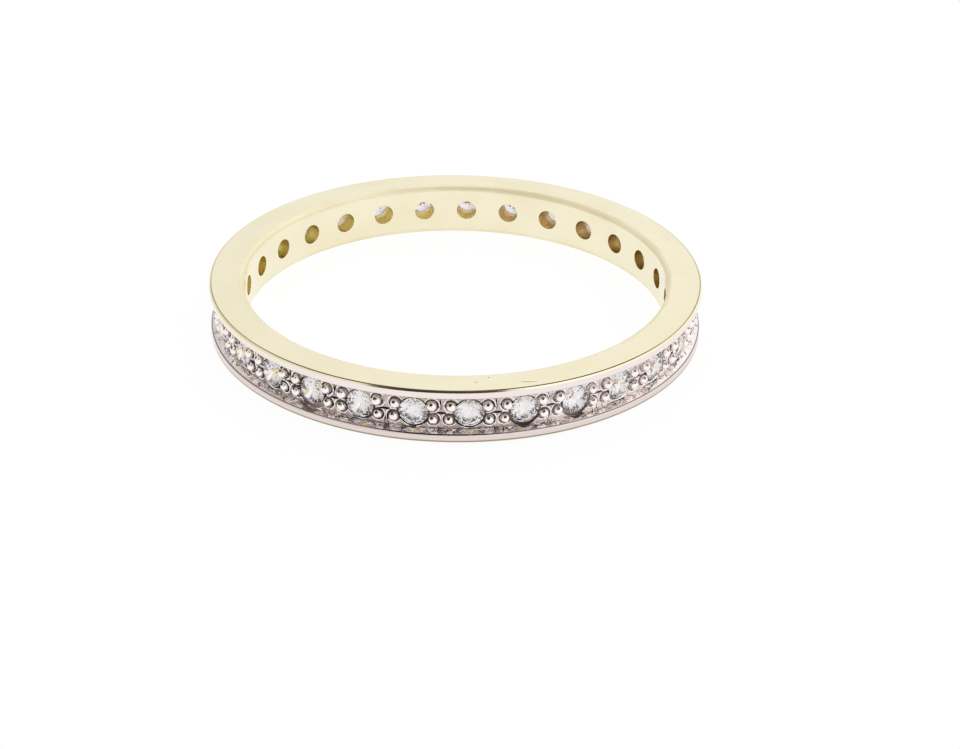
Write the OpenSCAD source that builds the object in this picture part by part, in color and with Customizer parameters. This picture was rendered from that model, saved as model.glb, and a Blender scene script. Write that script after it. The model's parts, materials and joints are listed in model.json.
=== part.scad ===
// A full eternity ring, lying flat on its side.
// The ring's axis is Z, z = 0 is the side face that it rests on, and the first stone faces -Y.

/* [Band] */
// Inside diameter, which is the size of the finger
inside_d = 17; // [16.8:0.1:17.6]
// Width of the band, measured along the finger
band_w = 2.18; // [2.1:0.02:2.4]
// Thickness of the band, from the finger to the top of the rims
band_t = 1.4; // [1.36:0.02:1.6]
// Radius that rounds the two edges that touch the finger
inner_round = 0.22; // [0.1:0.01:0.3]
// Bevel on the two outer edges
outer_bevel = 0.07; // [0.03:0.01:0.1]

/* [Channel] */
// Width of each polished rim beside the stones
rim_w = 0.34; // [0.28:0.01:0.36]
// Depth of the channel's floor below the rims
channel_depth = 0.36; // [0.34:0.01:0.38]
// How far each channel wall leans in between the rim and the floor
wall_lean = 0.12; // [0.06:0.01:0.16]

/* [Stones] */
// Number of stones round the ring
stone_count = 29; // [26:1:29]
// Diameter of each stone across its girdle
stone_d = 1.1; // [1.04:0.01:1.16]
// Depth of the girdle's upper edge below the rims
girdle_depth = 0.34; // [0.33:0.01:0.38]
// Table's corner-to-corner width, as a share of the stone's diameter
table_share = 0.6; // [0.54:0.01:0.66]
// Crown's height, as a share of the stone's diameter
crown_share = 0.14; // [0.12:0.01:0.16]
// Girdle's height, as a share of the stone's diameter
girdle_share = 0.03; // [0.02:0.01:0.05]
// Pavilion's depth, as a share of the stone's diameter
pavilion_share = 0.43; // [0.41:0.01:0.45]

/* [Setting] */
// Diameter of the round seat cut for each stone
seat_d = 1.28; // [1.2:0.04:1.32]
// Depth of each seat's bearing below the stone's girdle
bearing_drop = 0.08; // [0.06:0.01:0.1]
// Diameter of the hole through the inner wall behind each stone
back_hole_d = 0.84; // [0.7:0.02:0.86]
// Gap that keeps each stone clear of its seat
seat_gap = 0.03; // [0.02:0.01:0.04]
// Diameter of each grain's round head
grain_d = 0.36; // [0.3:0.02:0.38]
// Depth of each grain's centre below the rims
grain_depth = 0.34; // [0.3:0.01:0.36]
// Distance from a stone's centre to each of its four grains
grain_reach = 0.75; // [0.74:0.01:0.78]
// Distance of each grain from the middle of the band's width
grain_up = 0.29; // [0.26:0.01:0.32]

/* [Hidden] */
inner_r = inside_d / 2;
outer_r = inner_r + band_t;
floor_r = outer_r - channel_depth;
mid_z = band_w / 2;
cut_past = 0.3;

stone_pitch = 360 / stone_count;
first_angle = -90;

facets = 8;
girdle_sides = 2 * facets;
half_facet = 180 / facets;
girdle_r = stone_d / 2;
table_r = table_share * girdle_r;
crown_h = crown_share * stone_d;
girdle_h = girdle_share * stone_d;
pavilion_h = pavilion_share * stone_d;
star_r = (table_r * cos(half_facet) + girdle_r) / 2;
star_z = crown_h * (girdle_r - star_r * cos(half_facet)) / (girdle_r - table_r);
lower_r = 0.23 * girdle_r;
lower_z = -girdle_h - pavilion_h * (1 - lower_r * cos(half_facet) / girdle_r);
culet_z = -girdle_h - pavilion_h;

girdle_level = outer_r - girdle_depth;
ledge_drop = girdle_h + bearing_drop;
pavilion_slope = pavilion_h / girdle_r;
ledge_r = girdle_r - bearing_drop / pavilion_slope + seat_gap;
back_hole_r = back_hole_d / 2;
cone_drop = ledge_drop + (ledge_r - back_hole_r) * pavilion_slope;

grain_r = grain_d / 2;
grain_level = outer_r - grain_depth;
grain_along = sqrt(grain_reach * grain_reach - grain_up * grain_up);
grain_turn = asin(grain_along / grain_level);

gold = [0.93, 0.86, 0.63];
clear = [0.84, 0.83, 0.88];

function stone_name(i) = str("stone_", i < 10 ? "0" : "", i);
function stone_angle(i) = first_angle + (i - 1) * stone_pitch;

// Points of one level of a cut stone, evenly spaced round its axis.
function level(count, r, z, turn = 0) =
    [for (i = [0:count - 1]) [r * cos(turn + 360 * i / count), r * sin(turn + 360 * i / count), z]];

// Puts something made along +Z onto stone i's axis, with its z = 0 at the given distance from the ring's axis.
module on_stone_axis(i, r) {
    rotate([0, 0, stone_angle(i)])
        translate([r, 0, mid_z])
            rotate([0, 90, 0])
                children();
}

// Half of the band's cross-section: the finger side is rounded, the outer side is bevelled.
module band_section() {
    difference() {
        translate([inner_r, 0]) square([band_t, band_w]);
        for (up = [0, 1]) {
            translate([0, up * band_w]) mirror([0, up]) {
                translate([inner_r, 0]) square(inner_round);
                polygon([
                    [outer_r - outer_bevel, 0],
                    [outer_r, 0],
                    [outer_r, outer_bevel]
                ]);
            }
        }
        polygon([
            [outer_r, rim_w],
            [floor_r, rim_w + wall_lean],
            [floor_r, band_w - rim_w - wall_lean],
            [outer_r, band_w - rim_w]
        ]);
    }
    for (z = [inner_round, band_w - inner_round])
        translate([inner_r + inner_round, z]) circle(inner_round, $fn = 32);
}

// The cutter for one seat, along a stone's axis with z = 0 at the girdle's upper edge:
// a hole through the inner wall, a cone that follows the stone's underside and a round bearing.
module seat_cutter() {
    rotate_extrude($fn = 48)
        polygon([
            [0, inner_r - girdle_level - cut_past],
            [back_hole_r, inner_r - girdle_level - cut_past],
            [back_hole_r, -cone_drop],
            [ledge_r, -ledge_drop],
            [seat_d / 2, -ledge_drop],
            [seat_d / 2, girdle_depth + cut_past],
            [0, girdle_depth + cut_past]
        ]);
}

// The four grains that hold one stone.
module grains(i) {
    for (side = [-1, 1], up = [-1, 1])
        rotate([0, 0, stone_angle(i) + side * grain_turn])
            translate([grain_level, 0, mid_z + up * grain_up])
                sphere(grain_r, $fn = 24);
}

// The one-piece metal: blank, less its seats, with its grains.
module band() {
    color(gold)
        union() {
            difference() {
                rotate_extrude($fn = 180) band_section();
                for (i = [1:stone_count]) on_stone_axis(i, girdle_level) seat_cutter();
            }
            for (i = [1:stone_count]) grains(i);
        }
}

// A round brilliant: table, star, kite and upper girdle facets above, lower girdle and main facets below.
module brilliant() {
    table = 0;
    star = facets;
    upper = 2 * facets;
    under = upper + girdle_sides;
    lower = under + girdle_sides;
    culet = lower + facets;
    points = concat(
        level(facets, table_r, crown_h),
        level(facets, star_r, star_z, half_facet),
        level(girdle_sides, girdle_r, 0),
        level(girdle_sides, girdle_r, -girdle_h),
        level(facets, lower_r, lower_z, half_facet),
        [[0, 0, culet_z]]
    );
    last = facets - 1;
    faces = concat(
        [[for (i = [last:-1:0]) table + i]],
        [for (i = [0:last]) [table + (i + 1) % facets, star + i, table + i]],
        [for (i = [0:last]) [table + i, star + i, upper + 2 * i, star + (i + last) % facets]],
        [for (i = [0:last], k = [0, 1])
            [star + i, upper + (2 * i + k + 1) % girdle_sides, upper + 2 * i + k]],
        [for (j = [0:girdle_sides - 1])
            [upper + j, upper + (j + 1) % girdle_sides, under + (j + 1) % girdle_sides, under + j]],
        [for (i = [0:last], k = [0, 1])
            [under + 2 * i + k, under + (2 * i + k + 1) % girdle_sides, lower + i]],
        [for (i = [0:last]) [under + 2 * i, lower + i, culet, lower + (i + last) % facets]]
    );
    polyhedron(points, faces);
}

module stone(i) {
    color(clear) on_stone_axis(i, girdle_level) brilliant();
}

band();
for (i = [1:stone_count])
    stone(i);
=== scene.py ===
"""A grain-set eternity ring lying on its side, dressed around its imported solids.

New pieces are modelled in millimetres and shrunk to metres when they are done.
"""
import json
import math
import random

import bmesh
import bpy
from mathutils import Matrix, Vector


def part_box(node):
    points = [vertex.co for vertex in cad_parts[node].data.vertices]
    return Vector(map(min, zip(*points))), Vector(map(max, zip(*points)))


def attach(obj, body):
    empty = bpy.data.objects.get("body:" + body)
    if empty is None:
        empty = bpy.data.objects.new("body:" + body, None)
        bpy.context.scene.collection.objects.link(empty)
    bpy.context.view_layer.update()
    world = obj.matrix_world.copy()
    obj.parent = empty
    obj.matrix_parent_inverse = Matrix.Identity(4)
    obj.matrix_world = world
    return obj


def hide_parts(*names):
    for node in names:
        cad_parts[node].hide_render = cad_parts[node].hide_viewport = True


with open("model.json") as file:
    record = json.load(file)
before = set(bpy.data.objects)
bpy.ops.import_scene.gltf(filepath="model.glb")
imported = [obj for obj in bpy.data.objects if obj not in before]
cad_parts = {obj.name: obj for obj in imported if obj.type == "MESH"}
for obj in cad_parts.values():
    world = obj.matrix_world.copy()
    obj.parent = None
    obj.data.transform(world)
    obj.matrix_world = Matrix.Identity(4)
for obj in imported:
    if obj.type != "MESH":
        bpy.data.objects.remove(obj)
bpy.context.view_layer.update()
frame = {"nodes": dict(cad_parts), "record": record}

# Sizes from the frame, in millimetres
MM = 0.001
band_low, band_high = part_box("band")
bore = next(m for m in frame["record"]["mounts"] if m["name"] == "finger_bore")
STONES = sorted(name for name in frame["nodes"] if name.startswith("stone_"))
FULL_TURN = 2 * math.pi
PITCH = FULL_TURN / len(STONES)
FIRST_ANGLE = -math.pi / 2
FINGER_R = bore["dims"]["r_mm"]
RIM_R = band_high.x / MM
BAND_W = (band_high.z - band_low.z) / MM
MID_Z = BAND_W / 2

# Cross-section of the metal, in millimetres
INNER_ROUND = 0.22
OUTER_BEVEL = 0.07
PLATING_R = 9.2
RIM_W = 0.34
RIM_ROUND = 0.075
CHANNEL_DEPTH = 0.36
WALL_LEAN = 0.12
FLOOR_R = RIM_R - CHANNEL_DEPTH
WALL_UP = MID_Z - RIM_W - WALL_LEAN

# The fine line along each outer bevel: its width, how far it is pressed in and how far its tarnish reaches
EDGE_LINE = 0.028
LINE_IN = 0.3 * EDGE_LINE
LINE_REACH = 0.7 * EDGE_LINE
TARNISH_REACH = 1.4 * EDGE_LINE

# How finely the metal is turned and rounded
STEPS_PER_STONE = 12
INNER_ROUND_STEPS = 8
RIM_ROUND_STEPS = 3
EDGE_LINE_STEPS = 2

# How close a point lies to the level that it is on
NEAR = 0.01
VERY_NEAR = 0.001
END_SLACK = 1e-4

# How close two points lie that become one, in millimetres and, for a copied stone, in metres
SPIN_WELD = 0.0005
TILE_WELD = 0.0003
STONE_WELD = 1e-7

# Seats: levels along a stone's axis and radii about it
CUT_PAST = 0.3
GIRDLE_DEPTH = 0.34
LEDGE_DROP = 0.113
CONE_DROP = 0.058
CHAMFER_DROP = 0.03
CHAMFER_W = 0.03
GIRDLE_LEVEL = RIM_R - GIRDLE_DEPTH
LEDGE_LEVEL = GIRDLE_LEVEL - LEDGE_DROP
CONE_LEVEL = LEDGE_LEVEL - CONE_DROP
CHAMFER_LEVEL = FLOOR_R - CHAMFER_DROP
CHAMFER_TOP = CHAMFER_LEVEL + CHAMFER_W
LEDGE_R = 0.487
BACK_HOLE_R = 0.42
SEAT_SIDES = 48
SEAT_R_RANGE = (0.59, 0.606)
SEAT_SHIFT_RANGE = (-0.036, -0.022)
SEAT_SEED = 5

# Seats that were cut too wide, counted from the front stone: radius, shift up the band and chamfer
WIDE_SEATS = {1: (0.625, -0.06, 0.012), 2: (0.63, -0.065, 0.012), 26: (0.66, -0.08, 0.03)}
OPEN_SEAT = 26

# A seat cutter's finishes, in their order, and how far below the stone's middle its lower wall begins
LOWER_WALL, UPPER_WALL, BRIGHT_CUT = range(3)
LOWER_WALL_BELOW = 0.1

# Grains: head, stem, and place from the middle of the gap between two stones
GRAIN_R = 0.188
GRAIN_R_SPREAD = (0.94, 1.04)
GRAIN_DEPTH = 0.3
GRAIN_LEVEL = RIM_R - GRAIN_DEPTH
GRAIN_FLAT = 0.93
GRAIN_PRESSED = (0.95, 1.04)
GRAIN_LIFT = 0.02
GRAIN_UP = 0.287
LOWER_FROM_GAP = 0.305
UPPER_FROM_GAP = 0.352
UPPER_RISE = 0.045
STEM_LENGTH = 0.1
STONE_CLEARANCE = 1.025

# The pit in each grain, which holds a painted dark reflection: radius, distance from the grain's middle as
# a share of its radius, and direction
PIT_R = 0.066
PIT_REACH = 1.03
PIT_LEAN = 0.85
PIT_TURN = 0.3

# The burr raised round each grain and the groove inside it: height over the floor, added radius, thickness
BURR = (0.004, 0.1, 0.036)
GROOVE = (-0.012, 0.03, 0.04)
RING_THICK_SPREAD = (0.85, 1.1)

# Graver cuts in the floor: the slit between the grains, and the fan that runs from it to both walls
SLIT_LENGTH = (0.95, 1.15)
SLIT_W = 0.105
SLIT_DEPTH = 0.1
FAN_TURNS = (-0.52, -0.17, 0.17, 0.5)
FAN_WIDER_BELOW = 1.15
FAN_NARROWER_ABOVE = 0.9
FAN_FOOT = 0.1
FAN_REACH = 0.3
FAN_LIFT = 0.012
FAN_LENGTH = (0.5, 0.62)
FAN_W = 0.075
FAN_DEPTH = 0.1
FAN_BRIGHT_SHARE = 0.7

# Graver cuts in the walls: place along the gap, slant and length of each
WALL_CUTS = (
    (-0.74, 0.35, 0.34), (-0.62, -0.35, 0.38), (-0.48, 0.6, 0.34), (-0.35, -0.75, 0.34),
    (-0.22, 1.1, 0.36), (-0.07, 1.5, 0.36), (0.07, 1.75, 0.36), (0.2, 2.1, 0.36),
    (0.34, 0.8, 0.34), (0.48, -0.5, 0.36), (0.61, 0.35, 0.38), (0.74, -0.4, 0.34),
)
WALL_CUT_RISE = (0.15, 0.6)
WALL_CUT_SPREAD = (0.85, 1.15)
WALL_CUT_W = (0.045, 0.075)
WALL_CUT_DEPTH = 0.05
GRAVER_TIP = 0.12

# How far hand work strays, in millimetres and radians
GRAIN_STRAY = 0.02
GRAIN_STRAY_UP = 0.015
GRAIN_STRAY_OUT = 0.01
PIT_LEAN_STRAY = 0.1
PIT_TURN_STRAY = 0.15
RING_STRAY = 0.02
RING_TILT = 0.07
SLIT_STRAY = 0.03
SLIT_STRAY_UP = 0.02
SLIT_TURN_STRAY = 0.07
FAN_STRAY = 0.015
FAN_TURN_STRAY = 0.08
WALL_CUT_STRAY = 0.05
WALL_CUT_TURN_STRAY = 0.2
ANY_TURN = (0, 3)

# How many different lengths of channel there are, the step from one to the next in use, and their seed
TILE_KINDS = 7
TILE_STEP = 3
CHANNEL_SEED = 29

# Polishing marks: noise scales, and the noise at which a mark begins and is full
HAIRLINE_SCALE = 16.0
WAVE_SCALE = 3.0
HAIRLINE_RANGE = (0.54, 0.66)
HAZE_RANGE = (0.35, 0.7)

# Where dirt and painted shade, wear and edges in the channel begin and are full, in millimetres
PLATING_SHADE_AND_DIRT = (-0.05, 0.03)
BRIGHT_CUT_SHADE_AND_DIRT = (0.4, 0.6)
GRAIN_SHADE_AND_DIRT = (-0.03, 0.05)
RECESS_SHADE_AND_DIRT = (-0.02, 0.035)
PIT_PAINTED_REFLECTION = (-0.9, -0.5)
OPEN_WALL_SHADE_AND_DIRT = (0.0, 0.9)
WALL_CUT_FROM = 0.02
UNEVEN_SHADE_AND_DIRT = 0.05
UNEVEN_SCALE = 9.0
RUBBED_DEPTH = (-0.015, -0.035)
UPPER_PART = (0.2, 0.6)
LOWER_PART = (0.0, -0.1)
RIM_BLUR = 0.02
# The dirt and painted shade fade from the middle towards the right side, down to this share of their
# strength
FAINTER_TO_RIGHT = (0.0, 5.5)
RIGHT_SIDE_SHARE = 0.18
BARE_UP = (MID_Z - 0.24, MID_Z - 0.18)
BARE_SIDE = (-6.0, -7.5)
# A painted shadow: a dark strip along the channel's lower edge, next to the floor
LOWER_EDGE_SHADOW = (0.13 - MID_Z, 0.105 - MID_Z)
# A dark line painted along the step at the top of the lower rim: painted shade and dirt
RIM_LINE_TOP = (RIM_W + 0.026 - MID_Z, RIM_W + 0.012 - MID_Z)
RIM_LINE_FOOT = (RIM_W - 0.016 - MID_Z, RIM_W - 0.004 - MID_Z)
RIM_LINE_SHARE = 0.85

# White plating: polished and hazy, tints with their strength, and the colour of dirt and painted shade in
# the lower and upper part
POLISHED_PLATING = (0.95, 0.895, 0.865)
HAZY_PLATING = (0.925, 0.85, 0.845)
PLATING_TINTS = (
    ("Rubbed", 0.5, (0.98, 0.93, 0.9)),
    ("Rims", 0.5, (0.82, 0.73, 0.68)),
    # Painted shade: the lower rim darker and warmer than the upper one
    ("Lower rim", 0.7, (0.72, 0.61, 0.57)),
    ("Bare", 0.8, (0.9, 0.83, 0.6)),
    # Painted shadow along the channel's lower edge
    ("Lower edge", 0.85, (0.26, 0.2, 0.1)),
)
LOWER_SHADE_AND_DIRT = (0.2, 0.14, 0.135)
UPPER_SHADE_AND_DIRT = (0.36, 0.28, 0.2)
RIM_LINE_SHADE_AND_DIRT = (0.1, 0.075, 0.07)

# The dull metal in the grooves, darkened with depth by painted shade and dirt
OPEN_RECESS = (0.5, 0.42, 0.41)
DEEP_RECESS_SHADE = (0.075, 0.055, 0.055)
BROWN_HAZE = (0.5, 0.4, 0.3)
BROWN_SHARE = 0.15

# Yellow gold, with the worn marks on the upper side face, the painted shadow on the lower bevel and the
# worn finger-side edge
POLISHED_GOLD = (0.91, 0.85, 0.635)
HAZY_GOLD = (0.885, 0.81, 0.575)
WORN_GOLD = (0.36, 0.24, 0.1)
WORN_MARKS = (
    {"Along": 2.2, "Out": 9.475, "Length": 0.42, "Width": 0.03, "Slant": 0.24},
    {"Along": 0.28, "Out": 9.18, "Length": 0.12, "Width": 0.025, "Slant": 0.0},
    {"Along": 0.8, "Out": 8.872, "Length": 0.05, "Width": 0.04, "Slant": 0.0},
)
MARK_FADE = (1.0, 0.2)
SHADED_BEVEL = (0.26, 0.2, 0.08)
SHADED_BEVEL_SHARE = 0.9
LOWER_BEVEL = (0.075 - MID_Z, 0.06 - MID_Z)
WORN_EDGE_OUT = (FINGER_R + 0.23, FINGER_R + 0.2)
WORN_EDGE_UP = (MID_Z - 0.22, MID_Z - 0.19)

# The tarnished line, which is paler towards the back
TARNISH = (0.13, 0.095, 0.04)
HAZY_TARNISH = (0.28, 0.22, 0.1)
PALE_LINE_AT_BACK = (0.6, 0.52, 0.32)
LINE_PALER_FROM_FRONT = (-8.4, -5.5)

# The drilled holes, with painted shade that darkens them to the right, and paler near the stones
DRILLED_GOLD = (1.0, 0.86, 0.3)
HAZY_DRILLED_GOLD = (1.0, 0.81, 0.24)
SHADED_DRILLED_GOLD = (0.78, 0.55, 0.19)
SHADE_TO_RIGHT = (-2.0, 4.5)
PALE_NEAR_STONE = (0.9, 0.86, 0.77)
NEAR_STONE = (FINGER_R + 0.5, PLATING_R)

# Cut zirconia: body, painted glints of warm and cool fire, and traces of handling
ZIRCONIA_IOR = 2.16
LILAC_BODY = (0.945, 0.905, 0.925)
PAINTED_WARM_FIRE = (1.0, 0.86, 0.78)
PAINTED_COOL_FIRE = (0.86, 0.86, 0.96)
FIRE_SCALE = 2600.0
WARM_RANGE = (0.62, 0.74)
COOL_RANGE = (0.42, 0.3)
SMEAR_SCALE = 1500.0
SMEAR_RANGE = (0.4, 0.7)
SMEAR_ROUGHNESS = (0.03, 0.09)

# Roughness of the clean metal, and what each kind of wear adds to it
GOLD_ROUGHNESS = 0.11
GOLD_HAZE = 0.09
GOLD_HAIRLINES = 0.08
GOLD_WORN_EDGE = 0.46
PLATING_ROUGHNESS = 0.09
BRIGHT_CUT_ROUGHNESS = 0.12
GRAIN_ROUGHNESS = 0.035
PLATING_HAZE_SHARE = 0.8
PLATING_DIRT_ROUGHNESS = 0.1
RECESS_ROUGHNESS = 0.25
RECESS_HAZE = 0.2
DRILLED_ROUGHNESS = 0.3
DRILLED_HAZE = 0.15
LINE_ROUGHNESS = 0.3
LINE_HAZE = 0.2

# Depth of the marks in each finish, in metres, and how deep a hairline is beside a wave
GOLD_RELIEF = 0.000012
PLATING_RELIEF = 0.00002
RECESS_RELIEF = 0.00003
DRILLED_RELIEF = 0.00002
LINE_RELIEF = 0.00001
GOLD_HAIRLINE_DEPTH = -0.25
PLATING_HAIRLINE_DEPTH = -0.3

# How strongly those marks turn the light
GOLD_BUMP = 0.35
PLATING_BUMP = 0.4
GRAIN_BUMP = 0.1
RECESS_BUMP = 0.5
DRILLED_BUMP = 0.5
LINE_BUMP = 0.4

# The photograph's view, measured from the front stone's radius, in degrees, millimetres and pixels,
# and the nearest and farthest that the camera sees, in metres
VIEW_TURN = -3.95
VIEW_TILT = 28.64
VIEW_ROLL = 0.80
VIEW_DISTANCE = 90.86
VIEW_RIGHT = 0.998
VIEW_DOWN = 2.198
FOCAL_PIXELS = 2227.3
IMAGE_W = 960
SENSOR_W = 36
CLIP_START = 0.005
CLIP_END = 10

# The white room: how bright its left, right and ceiling are, and how high the ceiling begins
LEFT_LIGHT = 0.8
RIGHT_LIGHT = 1.12
CEILING_LIGHT = 1.2
CEILING_FROM = 0.4

# The lit white floor, in metres
FLOOR_SIZE = 2
FLOOR_GREY = 0.06
FLOOR_GLOW = 0.942
FLOOR_ROUGHNESS = 0.7
FLOOR_SPECULAR = 0.1

# The dark shape above the camera: turn from the view, height over the floor and half sizes, in degrees
DARK_TURN = -11
DARK_TILT = 62
DARK_HALF_W = 22
DARK_HALF_H = 28
DARK_SOFT_EDGE = (1.1, 0.9)
WHITE_ROOM = (1.0, 1.0, 1.0)
DARK_SHAPE = (0.05, 0.04, 0.033)


def select_only(obj):
    """Selects one object and makes it the active one."""
    bpy.ops.object.select_all(action="DESELECT")
    obj.select_set(True)
    bpy.context.view_layer.objects.active = obj


def edit(obj, mode="VERT"):
    """Opens edit mode on one object."""
    select_only(obj)
    bpy.ops.object.mode_set(mode="EDIT")
    bpy.ops.mesh.select_mode(type=mode)


def done():
    """Goes back to object mode."""
    bpy.ops.object.mode_set(mode="OBJECT")


def pick(obj, kind, test):
    """Selects the verts or faces of the mesh in edit mode whose every corner passes the test."""
    bpy.ops.mesh.select_all(action="DESELECT")
    mesh = bmesh.from_edit_mesh(obj.data)
    for item in getattr(mesh, kind):
        corners = [item] if kind == "verts" else item.verts
        if all(test(corner.co) for corner in corners):
            item.select_set(True)
    mesh.select_flush_mode()
    bmesh.update_edit_mesh(obj.data)


def apply_place(obj):
    """Moves an object's place, turn and size into its mesh."""
    select_only(obj)
    bpy.ops.object.transform_apply(location=True, rotation=True, scale=True)


def join(objects, name):
    """Makes one object of several."""
    bpy.ops.object.select_all(action="DESELECT")
    for obj in objects:
        obj.select_set(True)
    bpy.context.view_layer.objects.active = objects[0]
    bpy.ops.object.join()
    objects[0].name = name
    return objects[0]


def copy_turned(obj, angle):
    """A copy with its own mesh, turned about the ring's axis."""
    twin = obj.copy()
    twin.data = obj.data.copy()
    bpy.context.scene.collection.objects.link(twin)
    twin.matrix_world = Matrix.Rotation(angle, 4, "Z")
    apply_place(twin)
    return twin


def boolean(obj, cutter, operation):
    """Cuts or fuses another solid, which is used up and leaves its own finish on the new faces."""
    select_only(obj)
    modifier = obj.modifiers.new("cut", "BOOLEAN")
    modifier.operation = operation
    modifier.solver = "EXACT"
    modifier.material_mode = "TRANSFER"
    modifier.object = cutter
    bpy.ops.object.modifier_apply(modifier=modifier.name)
    bpy.data.objects.remove(cutter)


def about(rng, middle, stray):
    """A value that strays evenly to both sides of its middle."""
    return middle + rng.uniform(-stray, stray)


def stone_angle(index):
    """A stone's angle about the ring's axis, counted from the front."""
    return FIRST_ANGLE + index * PITCH


def on_surface(radius, along, up, turn=0.0):
    """A place on the band, facing out: local X runs along the band, local Y up the finger."""
    facing_out = Matrix(((0, 0, 1, radius), (1, 0, 0, 0), (0, 1, 0, MID_Z + up), (0, 0, 0, 1)))
    return Matrix.Rotation(along / radius, 4, "Z") @ facing_out @ Matrix.Rotation(turn, 4, "Z")


def on_wall(side, along, rise, turn):
    """A place on a leaning wall, from 0 at the floor to 1 at the rim: local Y runs up the wall."""
    lean = math.pi / 2 - side * math.atan2(WALL_LEAN, CHANNEL_DEPTH)
    flat = on_surface(FLOOR_R + rise * CHANNEL_DEPTH, along, side * (WALL_UP + rise * WALL_LEAN))
    return flat @ Matrix.Rotation(lean, 4, "X") @ Matrix.Rotation(turn, 4, "Z")


def section(name, low_r, high_r, low_z, high_z):
    """A flat rectangle in the XZ plane, ready to be shaped into a cross-section."""
    middle = ((low_r + high_r) / 2, 0, (low_z + high_z) / 2)
    bpy.ops.mesh.primitive_plane_add(size=1, location=middle, rotation=(math.pi / 2, 0, 0))
    obj = bpy.context.object
    obj.name = name
    obj.scale = (high_r - low_r, high_z - low_z, 1)
    apply_place(obj)
    return obj


def part_of_section(co, from_r, low_z, high_z):
    """True for a point of a cross-section from a radius outwards and between two heights."""
    return co.x > from_r - NEAR and low_z - NEAR < co.z < high_z + NEAR


def slice_at(levels, axis):
    """Bisects the whole mesh in edit mode at several levels along one axis."""
    for level in levels:
        bpy.ops.mesh.select_all(action="SELECT")
        bpy.ops.mesh.bisect(
            plane_co=[level if k == axis else 0 for k in range(3)],
            plane_no=[1 if k == axis else 0 for k in range(3)])


def merge_section():
    """Makes one face of the section in edit mode."""
    bpy.ops.mesh.select_mode(type="FACE")
    bpy.ops.mesh.select_all(action="SELECT")
    bpy.ops.mesh.dissolve_faces()
    bpy.ops.mesh.select_mode(type="VERT")


def round_corners(obj, offset, segments, test):
    """Rounds or bevels the section's corners that pass the test."""
    pick(obj, "verts", test)
    bpy.ops.mesh.bevel(offset=offset, segments=segments, affect="VERTICES")


def spin_section(obj, steps, angle):
    """Turns the flat section about the ring's axis into a closed solid. Spin runs clockwise."""
    edit(obj)
    bpy.ops.mesh.select_all(action="SELECT")
    if angle == FULL_TURN:
        bpy.ops.mesh.delete(type="ONLY_FACE")
        bpy.ops.mesh.select_all(action="SELECT")
    bpy.ops.mesh.spin(steps=steps, angle=angle, center=(0, 0, 0), axis=(0, 0, 1))
    bpy.ops.mesh.select_all(action="SELECT")
    bpy.ops.mesh.remove_doubles(threshold=SPIN_WELD)
    bpy.ops.mesh.select_all(action="SELECT")
    bpy.ops.mesh.normals_make_consistent(inside=False)
    done()


def seat_cutter(size, shift, chamfer, lower_wall, upper_wall, bright):
    """What is cut away for one stone: a hole, a cone under the stone and a round, chamfered seat."""
    start = FINGER_R - CUT_PAST
    depth = CONE_LEVEL - start
    bpy.ops.mesh.primitive_cylinder_add(
        vertices=SEAT_SIDES, radius=BACK_HOLE_R, depth=depth,
        location=(start + depth / 2, 0, MID_Z), rotation=(0, math.pi / 2, 0))
    cutter = bpy.context.object
    apply_place(cutter)
    edit(cutter, "FACE")
    pick(cutter, "faces", lambda co: co.x > CONE_LEVEL - VERY_NEAR)
    steps = (
        (LEDGE_LEVEL - CONE_LEVEL, LEDGE_R / BACK_HOLE_R, 0),
        (0, size / LEDGE_R, shift),
        (CHAMFER_LEVEL - LEDGE_LEVEL, 1, 0),
        (CHAMFER_W, 1 + chamfer / size, 0),
        (RIM_R + CUT_PAST - CHAMFER_TOP, 1, 0),
    )
    for out, grow, up in steps:
        bpy.ops.mesh.extrude_region_move(TRANSFORM_OT_translate={"value": (out, 0, up)})
        top = next(face for face in bmesh.from_edit_mesh(cutter.data).faces if face.select)
        bpy.ops.transform.resize(value=(grow,) * 3, center_override=top.calc_center_median())
    done()
    for finish in (lower_wall, upper_wall, bright):
        cutter.data.materials.append(finish)
    # Faces low on the wall, under the stone, take the lower-wall finish; in the channel that dark finish is
    # painted shade under each stone on dull cut metal
    for face in cutter.data.polygons:
        out = face.center.x
        lower = face.center.z < MID_Z - LOWER_WALL_BELOW
        in_shade = lower and out > CHAMFER_TOP
        if out < LEDGE_LEVEL - VERY_NEAR or (out > CHAMFER_LEVEL and not in_shade):
            face.material_index = BRIGHT_CUT
        elif not lower:
            face.material_index = UPPER_WALL
        else:
            face.material_index = LOWER_WALL
    return cutter


def seat_cutters(lower_wall, upper_wall, bright, open_wall):
    """All the seat cutters, each cut a little low and off true by hand."""
    rng = random.Random(SEAT_SEED)
    cutters = []
    for index in range(len(STONES)):
        size = rng.uniform(*SEAT_R_RANGE)
        shift = rng.uniform(*SEAT_SHIFT_RANGE)
        size, shift, chamfer = WIDE_SEATS.get(index, (size, shift, CHAMFER_W))
        lower = open_wall if index == OPEN_SEAT else lower_wall
        cutter = seat_cutter(size, shift, chamfer, lower, upper_wall, bright)
        cutter.matrix_world = Matrix.Rotation(stone_angle(index), 4, "Z")
        apply_place(cutter)
        cutters.append(cutter)
    return join(cutters, "seat_cutters")


def near_edge(co, reach):
    """True close to the line where a flat side face meets its outer bevel."""
    out = math.hypot(co.x, co.y) - (RIM_R - OUTER_BEVEL)
    return min(math.hypot(out, co.z), math.hypot(out, co.z - BAND_W)) < reach


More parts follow.
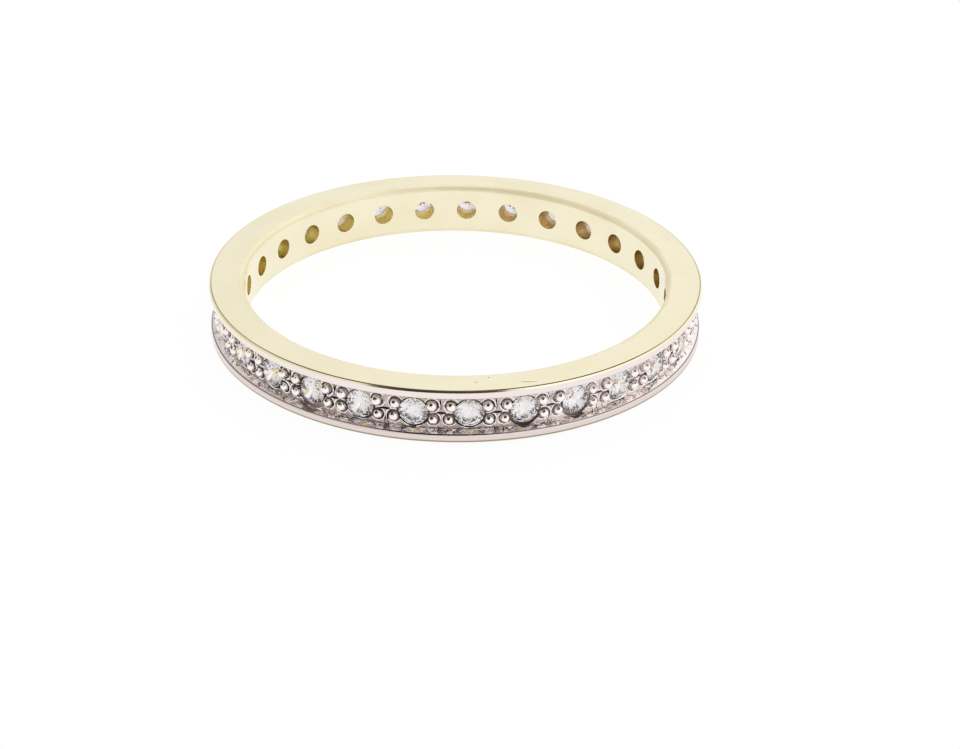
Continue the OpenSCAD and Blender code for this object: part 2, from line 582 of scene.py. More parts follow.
def gold_band(gold, edge_line, drilled):
    """The yellow sleeve with its flat side faces, and a fine line cut along each outer bevel."""
    low, high = OUTER_BEVEL, BAND_W - OUTER_BEVEL

    def finger_side(co):
        return co.x < FINGER_R + NEAR

    obj = section("gold_band", FINGER_R, RIM_R, 0, BAND_W)
    edit(obj)
    slice_at([PLATING_R], 0)
    slice_at([low, high], 2)
    bpy.ops.mesh.select_mode(type="FACE")
    pick(obj, "faces", lambda co: part_of_section(co, PLATING_R, low, high))
    bpy.ops.mesh.delete(type="FACE")
    merge_section()
    pick(obj, "verts", lambda co: finger_side(co) and part_of_section(co, FINGER_R, low, high))
    bpy.ops.mesh.dissolve_verts()
    round_corners(obj, INNER_ROUND, INNER_ROUND_STEPS, finger_side)
    pick(obj, "verts", lambda co: co.x > RIM_R - NEAR and not part_of_section(co, RIM_R, low, high))
    bpy.ops.transform.translate(value=(-OUTER_BEVEL, 0, 0))
    round_corners(obj, EDGE_LINE, EDGE_LINE_STEPS, lambda co: near_edge(co, NEAR))
    for side in (-1, 1):
        pick(obj, "verts", lambda co: near_edge(co, LINE_REACH) and side * (co.z - MID_Z) > 0)
        bpy.ops.transform.translate(value=(-LINE_IN, 0, -side * EDGE_LINE))
    done()
    spin_section(obj, len(STONES) * STEPS_PER_STONE, FULL_TURN)
    obj.data.materials.append(gold)
    obj.data.materials.append(edge_line)
    verts = obj.data.vertices
    for face in obj.data.polygons:
        if all(near_edge(verts[k].co, TARNISH_REACH) for k in face.vertices):
            face.material_index = 1
    boolean(obj, seat_cutters(drilled, drilled, drilled, drilled), "DIFFERENCE")
    return obj


def channel_tile(white):
    """One stone's length of the white channel: two rims, leaning walls and a plain floor."""
    obj = section("tile", PLATING_R, RIM_R, OUTER_BEVEL, BAND_W - OUTER_BEVEL)
    edit(obj)
    low, high = RIM_W + WALL_LEAN, BAND_W - RIM_W - WALL_LEAN
    slice_at([RIM_W, low, high, BAND_W - RIM_W], 2)
    pick(obj, "verts", lambda co: part_of_section(co, RIM_R, low, high))
    bpy.ops.transform.translate(value=(-CHANNEL_DEPTH, 0, 0))
    merge_section()
    round_corners(
        obj, RIM_ROUND, RIM_ROUND_STEPS, lambda co: part_of_section(co, RIM_R, RIM_W, BAND_W - RIM_W))
    done()
    obj.matrix_world = Matrix.Rotation(PITCH / 2, 4, "Z")
    apply_place(obj)
    spin_section(obj, STEPS_PER_STONE, PITCH)
    obj.data.materials.append(white)
    return obj


def ring_tool(place, major, minor, finish):
    """A ring laid on the floor round a grain."""
    bpy.ops.mesh.primitive_torus_add(
        major_radius=major, minor_radius=minor, major_segments=24, minor_segments=8)
    tool = bpy.context.object
    tool.matrix_world = place
    apply_place(tool)
    tool.data.materials.append(finish)
    return tool


def graver_tool(place, length, width, depth, finish):
    """A spindle with four edges, which leaves a graver's pointed V cut."""
    bpy.ops.mesh.primitive_cube_add(size=1, rotation=(math.pi / 4, 0, 0))
    tool = bpy.context.object
    apply_place(tool)
    edit(tool)
    slice_at([0], 0)
    for end in (-0.5, 0.5):
        pick(tool, "verts", lambda co: abs(co.x - end) < NEAR)
        bpy.ops.transform.resize(value=(1, GRAVER_TIP, GRAVER_TIP), center_override=(end, 0, 0))
    done()
    half_diagonal = math.sqrt(0.5)
    across = width / 2 / half_diagonal
    tool.matrix_world = place @ Matrix.Diagonal((length, across, depth / half_diagonal, 1))
    apply_place(tool)
    tool.data.materials.append(finish)
    return tool


def grain_places(rng):
    """Along, up, out and size of the four grains between two stones."""
    places = []
    for side in (-1, 1):
        for up, from_gap, rise in ((-1, LOWER_FROM_GAP, 0), (1, UPPER_FROM_GAP, UPPER_RISE)):
            along = about(rng, side * from_gap, GRAIN_STRAY)
            height = about(rng, GRAIN_LIFT + up * GRAIN_UP, GRAIN_STRAY_UP)
            out = about(rng, rise, GRAIN_STRAY_OUT)
            places.append((along, height, out, GRAIN_R * rng.uniform(*GRAIN_R_SPREAD)))
    return places


def cut_rings(tile, grains, rng, bright, recess):
    """Raises a burr round each grain and cuts the groove inside it, two grains that lie apart at a time."""
    for ring, operation, finish in ((BURR, "UNION", bright), (GROOVE, "DIFFERENCE", recess)):
        level, grow, thick = ring
        for pair in ((0, 3), (1, 2)):
            rings = []
            for along, up, _, size in (grains[k] for k in pair):
                place = on_surface(
                    FLOOR_R + level, about(rng, along, RING_STRAY), about(rng, up, RING_STRAY))
                tilt = Matrix.Rotation(about(rng, 0, RING_TILT), 4, "X")
                lean = tilt @ Matrix.Rotation(rng.uniform(*ANY_TURN), 4, "Z")
                thickness = thick * rng.uniform(*RING_THICK_SPREAD)
                rings.append(ring_tool(place @ lean, size + grow, thickness, finish))
            boolean(tile, join(rings, "rings"), operation)


def cut_floor(tile, rng, bright, recess):
    """The slit between the upper and lower grains, and the cuts that fan out from it to both walls."""
    slit = on_surface(
        FLOOR_R, about(rng, 0, SLIT_STRAY), about(rng, 0, SLIT_STRAY_UP), about(rng, 0, SLIT_TURN_STRAY))
    boolean(tile, graver_tool(slit, rng.uniform(*SLIT_LENGTH), SLIT_W, SLIT_DEPTH, recess), "DIFFERENCE")
    for fan_turn in FAN_TURNS:
        pair = []
        for up, spread in ((-1, FAN_WIDER_BELOW), (1, FAN_NARROWER_ABOVE)):
            turn = about(rng, fan_turn * spread, FAN_TURN_STRAY)
            along = about(rng, FAN_REACH * math.sin(turn), FAN_STRAY)
            height = up * (FAN_FOOT + FAN_REACH * math.cos(turn))
            place = on_surface(FLOOR_R + FAN_LIFT, along, height, math.pi / 2 - up * turn)
            finish = bright if rng.random() < FAN_BRIGHT_SHARE else recess
            pair.append(graver_tool(place, rng.uniform(*FAN_LENGTH), FAN_W, FAN_DEPTH, finish))
        boolean(tile, join(pair, "fan_cuts"), "DIFFERENCE")


def cut_walls(tile, rng, bright, recess):
    """Short slanting cuts on both walls, steep below the gap and flatter towards the stones."""
    for along, slant, length in WALL_CUTS:
        pair = []
        for side in (-1, 1):
            turn = about(rng, slant, WALL_CUT_TURN_STRAY)
            rise = rng.uniform(*WALL_CUT_RISE)
            place = on_wall(side, about(rng, along, WALL_CUT_STRAY), rise, turn)
            finish = rng.choice((bright, bright, recess))
            cut_length = length * rng.uniform(*WALL_CUT_SPREAD)
            cut_width = rng.uniform(*WALL_CUT_W)
            pair.append(graver_tool(place, cut_length, cut_width, WALL_CUT_DEPTH, finish))
        boolean(tile, join(pair, "wall_cuts"), "DIFFERENCE")


def stone_shape(turn, finish):
    """A neighbouring stone's own shape, a little larger, where it stands beside a tile."""
    node = frame["nodes"][STONES[0]]
    twin = node.copy()
    twin.data = node.data.copy()
    twin.data.materials.clear()
    twin.data.materials.append(finish)
    bpy.context.scene.collection.objects.link(twin)
    twin.hide_viewport = twin.hide_render = False
    apply_place(twin)
    edit(twin)
    bpy.ops.mesh.select_all(action="SELECT")
    bpy.ops.mesh.remove_doubles(threshold=STONE_WELD)
    done()
    middle = Vector((0, -GIRDLE_LEVEL * MM, MID_Z * MM))
    grown = Matrix.Translation(middle) @ Matrix.Scale(STONE_CLEARANCE, 4) @ Matrix.Translation(-middle)
    twin.matrix_world = Matrix.Rotation(turn - FIRST_ANGLE, 4, "Z") @ Matrix.Scale(1 / MM, 4) @ grown
    apply_place(twin)
    return twin


def pit_tool(centre, size, lean, turn, finish):
    """A small ball on a grain's upper side, which cuts a pit that holds a painted dark reflection of the
    surroundings above the grain.
    """
    towards = Vector((-math.sin(turn) * math.cos(lean), math.sin(lean), math.cos(turn) * math.cos(lean)))
    bpy.ops.mesh.primitive_uv_sphere_add(segments=14, ring_count=9, radius=PIT_R)
    tool = bpy.context.object
    tool.matrix_world = centre @ Matrix.Translation(towards * size * PIT_REACH)
    apply_place(tool)
    tool.data.materials.append(finish)
    return tool


def grain_bead(size):
    """A round head on a short stem that roots in the floor."""
    foot = -size / 2
    bpy.ops.mesh.primitive_uv_sphere_add(segments=20, ring_count=12, radius=size)
    bead = bpy.context.object
    edit(bead)
    bpy.ops.mesh.select_all(action="SELECT")
    bpy.ops.mesh.bisect(plane_co=(0, 0, foot), plane_no=(0, 0, 1), use_fill=True, clear_inner=True)
    bpy.ops.mesh.select_mode(type="FACE")
    pick(bead, "faces", lambda co: co.z < foot + VERY_NEAR)
    bpy.ops.mesh.extrude_region_move(TRANSFORM_OT_translate={"value": (0, 0, -STEM_LENGTH)})
    done()
    return bead


def grain_beads(grains, rng, burnished, pit):
    """The four grains between two stones, each pitted, and cut where they grip the stones."""
    beads = []
    pits = []
    for along, up, rise, size in grains:
        bead = grain_bead(size)
        pressed = Matrix.Diagonal((rng.uniform(*GRAIN_PRESSED), rng.uniform(*GRAIN_PRESSED), GRAIN_FLAT, 1))
        bead.matrix_world = on_surface(GRAIN_LEVEL + rise, along, up, rng.uniform(*ANY_TURN)) @ pressed
        apply_place(bead)
        beads.append(bead)
        lean = about(rng, PIT_LEAN, PIT_LEAN_STRAY)
        turn = about(rng, PIT_TURN, PIT_TURN_STRAY)
        pits.append(pit_tool(on_surface(GRAIN_LEVEL + rise, along, up), size, lean, turn, pit))
    four = join(beads, "grains_between_two_stones")
    four.data.materials.append(burnished)
    stones = [stone_shape(side * PITCH / 2, burnished) for side in (-1, 1)]
    boolean(four, join(stones + pits, "two_stones_and_pits"), "DIFFERENCE")
    return four


def open_ends(tile):
    """Takes the two end faces off a tile, so that it can be merged with its neighbours."""
    edit(tile, "FACE")
    end_slope = math.tan(PITCH / 2) - END_SLACK
    pick(tile, "faces", lambda co: abs(co.y) / co.x > end_slope)
    bpy.ops.mesh.delete(type="FACE")
    done()


def channel_and_grains(white, bright, recess, burnished, pit, open_wall):
    """The white channel all round the ring, and all its grains."""
    rng = random.Random(CHANNEL_SEED)
    kinds = []
    for _ in range(TILE_KINDS):
        grains = grain_places(rng)
        tile = channel_tile(white)
        cut_rings(tile, grains, rng, bright, recess)
        cut_floor(tile, rng, bright, recess)
        cut_walls(tile, rng, bright, recess)
        open_ends(tile)
        kinds.append((tile, grain_beads(grains, rng, burnished, pit)))
    tiles = []
    beads = []
    for index in range(len(STONES)):
        tile, grains = kinds[index * TILE_STEP % TILE_KINDS]
        turn = stone_angle(index) + PITCH / 2
        tiles.append(copy_turned(tile, turn))
        beads.append(copy_turned(grains, turn))
    for tile, grains in kinds:
        bpy.data.objects.remove(tile)
        bpy.data.objects.remove(grains)
    channel = join(tiles, "white_channel")
    edit(channel)
    bpy.ops.mesh.select_all(action="SELECT")
    bpy.ops.mesh.remove_doubles(threshold=TILE_WELD)
    done()
    # The seats' lower walls take the dark recess finish: painted shade under the stones on dull cut metal
    boolean(channel, seat_cutters(recess, white, bright, open_wall), "DIFFERENCE")
    return channel, join(beads, "grains")


def smooth(obj, degrees):
    """Shades round what turns gently, and keeps the flat faces flat right up to their rounded edges."""
    select_only(obj)
    bpy.ops.object.shade_smooth_by_angle(angle=math.radians(degrees))
    modifier = obj.modifiers.new("flat_faces", "WEIGHTED_NORMAL")
    modifier.keep_sharp = True
    bpy.ops.object.modifier_apply(modifier=modifier.name)


def finish_piece(obj, slot, *nodes):
    """Shrinks a piece to metres and hands it to the frame."""
    obj.matrix_world = Matrix.Scale(MM, 4)
    apply_place(obj)
    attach(obj, "root")
    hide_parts(*nodes)


def add(tree, kind, inputs, **settings):
    """Adds one shader node with its settings, and fills or links its inputs."""
    made = tree.nodes.new("ShaderNode" + kind)
    for key, value in settings.items():
        setattr(made, key, value)
    for key, value in inputs.items():
        if isinstance(value, bpy.types.NodeSocket):
            tree.links.new(value, made.inputs[key])
        else:
            made.inputs[key].default_value = value
    return made


def maths(tree, operation, *values):
    """One Math node's result."""
    return add(tree, "Math", dict(enumerate(values)), operation=operation).outputs[0]


def squares(tree, first, second):
    """The sum of two squares."""
    return maths(tree, "ADD", maths(tree, "POWER", first, 2.0), maths(tree, "POWER", second, 2.0))


def built_up(tree, base, *layers):
    """A value to which each mask adds its amount."""
    for mask, amount in layers:
        base = maths(tree, "MULTIPLY_ADD", mask, amount, base)
    return base


def ramp(tree, value, low, high, low_out=0.0, high_out=1.0):
    """Maps a value smoothly from one range to another, and holds it at the ends."""
    inputs = {"Value": value, "From Min": low, "From Max": high, "To Min": low_out, "To Max": high_out}
    return add(tree, "MapRange", inputs, interpolation_type="SMOOTHSTEP").outputs["Result"]


def blend(tree, share, first, second):
    """Mixes two colours."""
    made = tree.nodes.new("ShaderNodeMix")
    made.data_type = "RGBA"
    sockets = {"Factor_Float": share, "A_Color": first, "B_Color": second}
    for socket in made.inputs:
        value = sockets.get(socket.identifier)
        if isinstance(value, bpy.types.NodeSocket):
            tree.links.new(value, socket)
        elif value is not None:
            socket.default_value = (*value, 1)
    return next(socket for socket in made.outputs if socket.identifier == "Result_Color")


def part_blend(tree, mask, share, first, second):
    """Mixes two colours by a share of a mask."""
    return blend(tree, maths(tree, "MULTIPLY", mask, share), first, second)


def new_group(name, inputs):
    """An empty node group, and its named inputs, all of them plain values."""
    tree = bpy.data.node_groups.new(name, "ShaderNodeTree")
    for label, value in inputs.items():
        socket = tree.interface.new_socket(label, in_out="INPUT", socket_type="NodeSocketFloat")
        socket.default_value = value
    return tree, tree.nodes.new("NodeGroupInput").outputs


def put_out(group, results):
    """Gives a node group one named output for each result."""
    for label in results:
        group.interface.new_socket(label, in_out="OUTPUT", socket_type="NodeSocketFloat")
    end = group.nodes.new("NodeGroupOutput")
    for label, value in results.items():
        group.links.new(value, end.inputs[label])


def use(tree, group, values):
    """Places a node group in a material with its own values, and returns its results."""
    made = tree.nodes.new("ShaderNodeGroup")
    made.node_tree = group
    for label, value in values.items():
        made.inputs[label].default_value = value
    return made.outputs


def in_millimetres(tree):
    """The ring's own coordinates, and the distance from its axis."""
    parts = add(tree, "SeparateXYZ", {0: add(tree, "TexCoord", {}).outputs["Object"]}).outputs
    x, y, z = (maths(tree, "MULTIPLY", part, 1 / MM) for part in parts)
    return x, y, z, maths(tree, "SQRT", squares(tree, x, y))


def place_on_ring(tree):
    """Where a point lies on the ring, in millimetres: along the band from the front, up and out."""
    x, y, z, out = in_millimetres(tree)
    angle = maths(tree, "ARCTAN2", x, maths(tree, "MULTIPLY", y, -1.0))
    return maths(tree, "MULTIPLY", angle, FLOOR_R), maths(tree, "SUBTRACT", z, MID_Z), out


def noise(tree, stretch, scale, detail):
    """Noise over the ring's surface without a seam, drawn out by the stretch along the band."""
    x, y, z, out = in_millimetres(tree)
    drawn = {0: maths(tree, "DIVIDE", x, stretch), 1: maths(tree, "DIVIDE", y, stretch), 2: z}
    place = add(tree, "CombineXYZ", drawn).outputs[0]
    inputs = {"Vector": place, "W": out, "Scale": scale, "Detail": detail}
    return add(tree, "TexNoise", inputs, noise_dimensions="4D").outputs["Fac"]


def polishing_marks():
    """Hairlines and a soft haze left by the polishing wheel and by wear."""
    group, given = new_group("polishing_marks", {"Fineness": 1.0, "Drawn out": 14.0})
    fineness = given["Fineness"]
    hairline_scale = maths(group, "MULTIPLY", fineness, HAIRLINE_SCALE)
    wave_scale = maths(group, "MULTIPLY", fineness, WAVE_SCALE)
    hairlines = noise(group, stretch=given["Drawn out"], scale=hairline_scale, detail=4.0)
    haze = noise(group, stretch=2.0, scale=fineness, detail=3.0)
    put_out(group, {
        "Hairlines": ramp(group, hairlines, *HAIRLINE_RANGE),
        "Haze": ramp(group, haze, *HAZE_RANGE),
        "Waves": noise(group, stretch=1.5, scale=wave_scale, detail=2.0),
    })
    return group


def depth_in_channel():
    """How far a point lies below the uncut channel, and the dirt, painted shade and shine that go with
    that.
    """
    begins, full = PLATING_SHADE_AND_DIRT
    group, given = new_group("depth_in_channel", {"Dirt from": begins, "Dirt full": full})
    x, _, z, out = in_millimetres(group)
    up = maths(group, "SUBTRACT", z, MID_Z)
    from_middle = maths(group, "ABSOLUTE", up)
    under_floor = maths(group, "SUBTRACT", FLOOR_R, out)
    under_rim = maths(group, "SUBTRACT", RIM_R, out)
    wall_here = maths(group, "MULTIPLY_ADD", under_floor, -WALL_LEAN / CHANNEL_DEPTH, WALL_UP)
    into_wall = maths(group, "SUBTRACT", from_middle, maths(group, "ADD", wall_here, WALL_CUT_FROM))
    below = maths(group, "MAXIMUM", under_floor, maths(group, "MINIMUM", into_wall, under_rim))
    patches = noise(group, stretch=1.0, scale=UNEVEN_SCALE, detail=3.0)
    uneven = maths(group, "MULTIPLY_ADD", patches, UNEVEN_SHADE_AND_DIRT, -UNEVEN_SHADE_AND_DIRT / 2)
    rims = ramp(group, from_middle, MID_Z - RIM_W - RIM_BLUR, MID_Z - RIM_W + RIM_BLUR)
    # Painted shade with some dirt: darker the deeper a point lies below the floor, walls and rims
    shade_and_dirt = ramp(group, maths(group, "ADD", below, uneven), given["Dirt from"], given["Dirt full"])
    shade_and_dirt = maths(group, "MULTIPLY", shade_and_dirt, maths(group, "SUBTRACT", 1.0, rims))
    fainter_to_right = ramp(group, x, *FAINTER_TO_RIGHT, low_out=1.0, high_out=RIGHT_SIDE_SHARE)
    rim_line = maths(group, "MULTIPLY", ramp(group, up, *RIM_LINE_TOP), ramp(group, up, *RIM_LINE_FOOT))
    put_out(group, {
        "Dirt": maths(group, "MULTIPLY", shade_and_dirt, fainter_to_right),
        "Rubbed": ramp(group, below, *RUBBED_DEPTH),
        "Upper part": ramp(group, up, *UPPER_PART),
        "Rims": rims,
        "Lower rim": maths(group, "MULTIPLY", rims, ramp(group, up, *LOWER_PART)),
        "Bare": maths(group, "MULTIPLY", ramp(group, up, *BARE_UP), ramp(group, x, *BARE_SIDE)),
        "Lower edge": ramp(group, up, *LOWER_EDGE_SHADOW),
        "Rim line": rim_line,
    })
    return group


def short_mark():
    """A small worn mark on the upper side face: its middle, half its length and width, and its slant."""
    group, given = new_group("short_mark", WORN_MARKS[0])
    along, up, out = place_on_ring(group)
    beside = maths(group, "SUBTRACT", along, given["Along"])
    beyond = maths(group, "SUBTRACT", out, given["Out"])
    beyond = maths(group, "SUBTRACT", beyond, maths(group, "MULTIPLY", beside, given["Slant"]))
    across = maths(group, "DIVIDE", beside, given["Length"])
    deep = maths(group, "DIVIDE", beyond, given["Width"])
    mark = ramp(group, squares(group, across, deep), *MARK_FADE)
    on_top = maths(group, "GREATER_THAN", up, MID_Z - NEAR)
    put_out(group, {"Mark": maths(group, "MULTIPLY", mark, on_top)})
    return group


def principled(name, metallic):
    """A new material, its node tree and its shader."""
    material = bpy.data.materials.new(name)
    material.use_nodes = True
    shader = material.node_tree.nodes["Principled BSDF"]
    shader.inputs["Metallic"].default_value = metallic
    return material, material.node_tree, shader


def paint(tree, shader, colour, roughness, height, distance, strength):
    """Feeds a shader its colour, its roughness, and a bump from a height."""
    tree.links.new(colour, shader.inputs["Base Color"])
    tree.links.new(roughness, shader.inputs["Roughness"])
    bump = add(tree, "Bump", {"Height": height, "Distance": distance, "Strength": strength})
    tree.links.new(bump.outputs["Normal"], shader.inputs["Normal"])


def gold_finish(marks, mark):
    """Polished yellow gold with hairlines, a soft haze and small worn marks on the upper face."""
    material, tree, shader = principled("yellow_gold", 1)
    wear = use(tree, marks, {"Fineness": 0.7, "Drawn out": 18.0})
    colour = blend(tree, wear["Haze"], POLISHED_GOLD, HAZY_GOLD)
    for place in WORN_MARKS:
        colour = blend(tree, use(tree, mark, place)["Mark"], colour, WORN_GOLD)
    _, up, out = place_on_ring(tree)
    # Painted shadow: the lower bevel is darkened where the band meets the floor
    bevel_r = RIM_R - OUTER_BEVEL
    on_bevel = ramp(tree, out, bevel_r - NEAR, bevel_r + NEAR)
    lower_bevel = maths(tree, "MULTIPLY", ramp(tree, up, *LOWER_BEVEL), on_bevel)
    colour = part_blend(tree, lower_bevel, SHADED_BEVEL_SHARE, colour, SHADED_BEVEL)
    near_side = ramp(tree, maths(tree, "ABSOLUTE", up), *WORN_EDGE_UP)
    worn_edge = maths(tree, "MULTIPLY", ramp(tree, out, *WORN_EDGE_OUT), near_side)
    layers = ((wear["Haze"], GOLD_HAZE), (wear["Hairlines"], GOLD_HAIRLINES), (worn_edge, GOLD_WORN_EDGE))
    rough = built_up(tree, GOLD_ROUGHNESS, *layers)
    height = built_up(tree, wear["Waves"], (wear["Hairlines"], GOLD_HAIRLINE_DEPTH))
    paint(tree, shader, colour, rough, height, GOLD_RELIEF, GOLD_BUMP)
    return material


def plating_finish(name, marks, depth, roughness, bump, shade_and_dirt_range):
    """White plating, rubbed bright on the ridges, darkened in the cuts by dirt and painted shade, painted
    shade on the lower rim and a painted shadow on its lower edge, with the yellow showing faintly.
    """
    begins, full = shade_and_dirt_range
    material, tree, shader = principled(name, 1)
    wear = use(tree, marks, {"Fineness": 1.1, "Drawn out": 9.0})
    cut = use(tree, depth, {"Dirt from": begins, "Dirt full": full})
    colour = blend(tree, wear["Haze"], POLISHED_PLATING, HAZY_PLATING)
    for where, share, tint in PLATING_TINTS:
        colour = part_blend(tree, cut[where], share, colour, tint)
    # Dirt and painted shade: darker in the lower part of the channel, lighter and yellower in the upper
    # part
    shade_and_dirt = blend(tree, cut["Upper part"], LOWER_SHADE_AND_DIRT, UPPER_SHADE_AND_DIRT)
    colour = blend(tree, cut["Dirt"], colour, shade_and_dirt)
    # Painted shade and dirt in the dark line at the top of the lower rim
    colour = part_blend(tree, cut["Rim line"], RIM_LINE_SHARE, colour, RIM_LINE_SHADE_AND_DIRT)
    layers = ((wear["Haze"], PLATING_HAZE_SHARE * roughness), (cut["Dirt"], PLATING_DIRT_ROUGHNESS))
    rough = built_up(tree, roughness, *layers)
    height = built_up(tree, wear["Waves"], (wear["Hairlines"], PLATING_HAIRLINE_DEPTH))
    paint(tree, shader, colour, rough, height, PLATING_RELIEF, bump)
    return material


def recess_finish(name, marks, depth, shade_and_dirt_range):
    """The dull metal at the bottom of the grooves, seats and pits, darkened with depth by painted shade and
    dirt, lighter towards the top.
    """
    begins, full = shade_and_dirt_range
    material, tree, shader = principled(name, 1)
    wear = use(tree, marks, {"Fineness": 3.0, "Drawn out": 1.5})
    cut = use(tree, depth, {"Dirt from": begins, "Dirt full": full})
    # Painted shade and dirt: darker the deeper the recess
    colour = blend(tree, cut["Dirt"], OPEN_RECESS, DEEP_RECESS_SHADE)
    colour = part_blend(tree, wear["Haze"], BROWN_SHARE, colour, BROWN_HAZE)
    rough = built_up(tree, RECESS_ROUGHNESS, (wear["Haze"], RECESS_HAZE))
    paint(tree, shader, colour, rough, wear["Waves"], RECESS_RELIEF, RECESS_BUMP)
    return material


def drilled_finish(marks):
    """The deeper yellow of the drilled holes, left by the drill and not polished."""
    material, tree, shader = principled("drilled_gold", 1)
    wear = use(tree, marks, {"Fineness": 4.0, "Drawn out": 1.0})
    x, _, _, out = in_millimetres(tree)
    colour = blend(tree, wear["Haze"], DRILLED_GOLD, HAZY_DRILLED_GOLD)
    # Painted shade: the holes grow darker and browner towards the right
    colour = blend(tree, ramp(tree, x, *SHADE_TO_RIGHT), colour, SHADED_DRILLED_GOLD)
    colour = blend(tree, ramp(tree, out, *NEAR_STONE), colour, PALE_NEAR_STONE)
    rough = built_up(tree, DRILLED_ROUGHNESS, (wear["Haze"], DRILLED_HAZE))
    paint(tree, shader, colour, rough, wear["Waves"], DRILLED_RELIEF, DRILLED_BUMP)
    return material


def edge_line_finish(marks):
    """The tarnish in the fine line along each outer bevel."""
    material, tree, shader = principled("tarnished_line", 1)
    wear = use(tree, marks, {"Fineness": 2.0, "Drawn out": 5.0})
    _, y, _, _ = in_millimetres(tree)
    colour = blend(tree, wear["Haze"], TARNISH, HAZY_TARNISH)
    colour = blend(tree, ramp(tree, y, *LINE_PALER_FROM_FRONT), colour, PALE_LINE_AT_BACK)
    rough = built_up(tree, LINE_ROUGHNESS, (wear["Haze"], LINE_HAZE))
    paint(tree, shader, colour, rough, wear["Waves"], LINE_RELIEF, LINE_BUMP)
    return material


def zirconia():
    """Clear cut stone with a faint lilac body, painted warm and cool glints of fire, and a trace of
    handling.
    """
    material, tree, shader = principled("cut_zirconia", 0)
    shader.inputs["Transmission Weight"].default_value = 1
    shader.inputs["IOR"].default_value = ZIRCONIA_IOR
    where = add(tree, "TexCoord", {}).outputs["Object"]
    fire = add(tree, "TexNoise", {"Vector": where, "Scale": FIRE_SCALE, "Detail": 2.0}).outputs["Fac"]
    # Painted glints: warm and cool patches of fire in the stone's colour
    colour = blend(tree, ramp(tree, fire, *WARM_RANGE), LILAC_BODY, PAINTED_WARM_FIRE)
    colour = blend(tree, ramp(tree, fire, *COOL_RANGE), colour, PAINTED_COOL_FIRE)
    tree.links.new(colour, shader.inputs["Base Color"])
    smears = add(tree, "TexNoise", {"Vector": where, "Scale": SMEAR_SCALE, "Detail": 3.0}).outputs["Fac"]
    tree.links.new(ramp(tree, smears, *SMEAR_RANGE, *SMEAR_ROUGHNESS), shader.inputs["Roughness"])
    return material


def floor():
    """A plain floor that glows, so that it is as white as the photograph's."""
    bpy.ops.mesh.primitive_plane_add(size=FLOOR_SIZE)
    obj = bpy.context.object
    obj.name = "floor"
    material, _, shader = principled("lit_white_floor", 0)
    shader.inputs["Base Color"].default_value = (FLOOR_GREY, FLOOR_GREY, FLOOR_GREY, 1)
    shader.inputs["Roughness"].default_value = FLOOR_ROUGHNESS
    shader.inputs["Specular IOR Level"].default_value = FLOOR_SPECULAR
    shader.inputs["Emission Color"].default_value = (1, 1, 1, 1)
    shader.inputs["Emission Strength"].default_value = FLOOR_GLOW
    obj.data.materials.append(material)


def direction(turn, tilt):
    """The unit vector to a place at an azimuth from the front and a height above the floor, in degrees."""
    a = math.radians(turn)
    e = math.radians(tilt)
    return Vector((math.sin(a) * math.cos(e), -math.cos(a) * math.cos(e), math.sin(e)))


def dark_shape(tree, towards):
    """The share of darkness in a direction: a soft-edged ellipse on the room's wall."""
    turn = VIEW_TURN + DARK_TURN
    middle = direction(turn, DARK_TILT)
    level = direction(turn + 90, 0)
    facing, across, along = (
        add(tree, "VectorMath", {0: towards, 1: axis}, operation="DOT_PRODUCT").outputs["Value"]
        for axis in (middle, level, middle.cross(level)))
    across = maths(tree, "DIVIDE", across, math.sin(math.radians(DARK_HALF_W)))
    along = maths(tree, "DIVIDE", along, math.sin(math.radians(DARK_HALF_H)))
    inside = ramp(tree, maths(tree, "SQRT", squares(tree, across, along)), *DARK_SOFT_EDGE)
    return maths(tree, "MULTIPLY", inside, maths(tree, "GREATER_THAN", facing, 0.0))


def light():
    """A white room, brighter on the right, with the dark shape above the camera that the metal mirrors."""
    world = bpy.data.worlds.new("white_room")
    bpy.context.scene.world = world
    world.use_nodes = True
    tree = world.node_tree
    towards = add(tree, "TexCoord", {}).outputs["Generated"]
    right, _, above = add(tree, "SeparateXYZ", {0: towards}).outputs
    sides = ramp(tree, right, -1.0, 1.0, LEFT_LIGHT, RIGHT_LIGHT)
    ceiling = ramp(tree, above, CEILING_FROM, 1.0, 1.0, CEILING_LIGHT)
    background = tree.nodes["Background"]
    colour = blend(tree, dark_shape(tree, towards), WHITE_ROOM, DARK_SHAPE)
    tree.links.new(colour, background.inputs["Color"])
    tree.links.new(maths(tree, "MULTIPLY", sides, ceiling), background.inputs["Strength"])


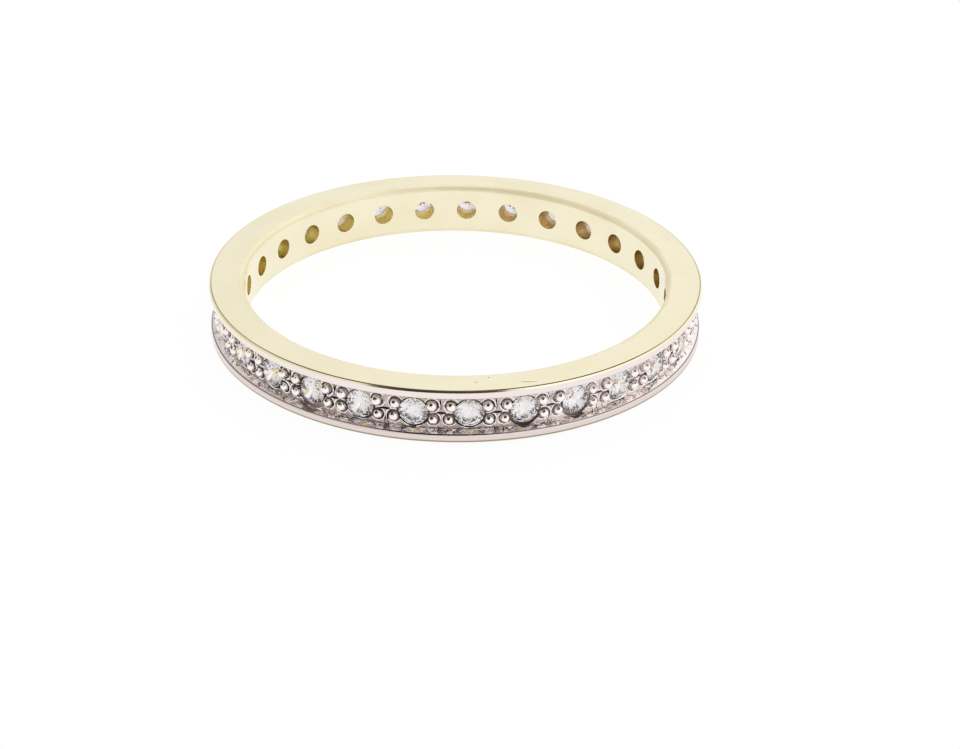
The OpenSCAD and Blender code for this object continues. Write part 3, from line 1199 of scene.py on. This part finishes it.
def camera():
    """The photograph's camera."""
    back = direction(VIEW_TURN, VIEW_TILT)
    level = Vector((0, 0, 1)).cross(back).normalized()
    upright = back.cross(level)
    roll = math.radians(VIEW_ROLL)
    right = math.cos(roll) * level + math.sin(roll) * upright
    up = -math.sin(roll) * level + math.cos(roll) * upright
    data = bpy.data.cameras.new("camera")
    data.sensor_width = SENSOR_W
    data.lens = FOCAL_PIXELS / IMAGE_W * SENSOR_W
    data.clip_start = CLIP_START
    data.clip_end = CLIP_END
    obj = bpy.data.objects.new("camera", data)
    bpy.context.scene.collection.objects.link(obj)
    place = VIEW_DISTANCE * back + VIEW_RIGHT * right - VIEW_DOWN * up
    turned = Matrix((right, up, back)).transposed().to_4x4()
    obj.matrix_world = Matrix.Translation(place * MM) @ turned
    bpy.context.scene.camera = obj


def build():
    """The finishes, the three metal pieces, the stones, the floor, the light and the camera."""
    marks = polishing_marks()
    depth = depth_in_channel()
    gold = gold_finish(marks, short_mark())
    white = plating_finish("white_plating", marks, depth, PLATING_ROUGHNESS, PLATING_BUMP, PLATING_SHADE_AND_DIRT)
    bright = plating_finish("bright_cut", marks, depth, BRIGHT_CUT_ROUGHNESS, PLATING_BUMP, BRIGHT_CUT_SHADE_AND_DIRT)
    burnished = plating_finish("burnished_grain", marks, depth, GRAIN_ROUGHNESS, GRAIN_BUMP, GRAIN_SHADE_AND_DIRT)
    recess = recess_finish("dull_recess", marks, depth, RECESS_SHADE_AND_DIRT)
    # Painted reflection: the pits are fully dark, standing in for the dark surroundings each grain mirrors
    pit = recess_finish("dark_pit", marks, depth, PIT_PAINTED_REFLECTION)
    open_wall = recess_finish("grey_seat_wall", marks, depth, OPEN_WALL_SHADE_AND_DIRT)
    band = gold_band(gold, edge_line_finish(marks), drilled_finish(marks))
    channel, grains = channel_and_grains(white, bright, recess, burnished, pit, open_wall)
    smooth(band, degrees=30)
    smooth(channel, degrees=28)
    smooth(grains, degrees=60)
    finish_piece(band, "gold", "band")
    finish_piece(channel, "white_plating", "band")
    finish_piece(grains, "white_plating", "band")
    stone = zirconia()
    for name in STONES:
        node = frame["nodes"][name]
        node.data.materials.clear()
        node.data.materials.append(stone)
    floor()
    light()
    camera()
    bpy.context.scene.view_settings.view_transform = "Standard"


build()
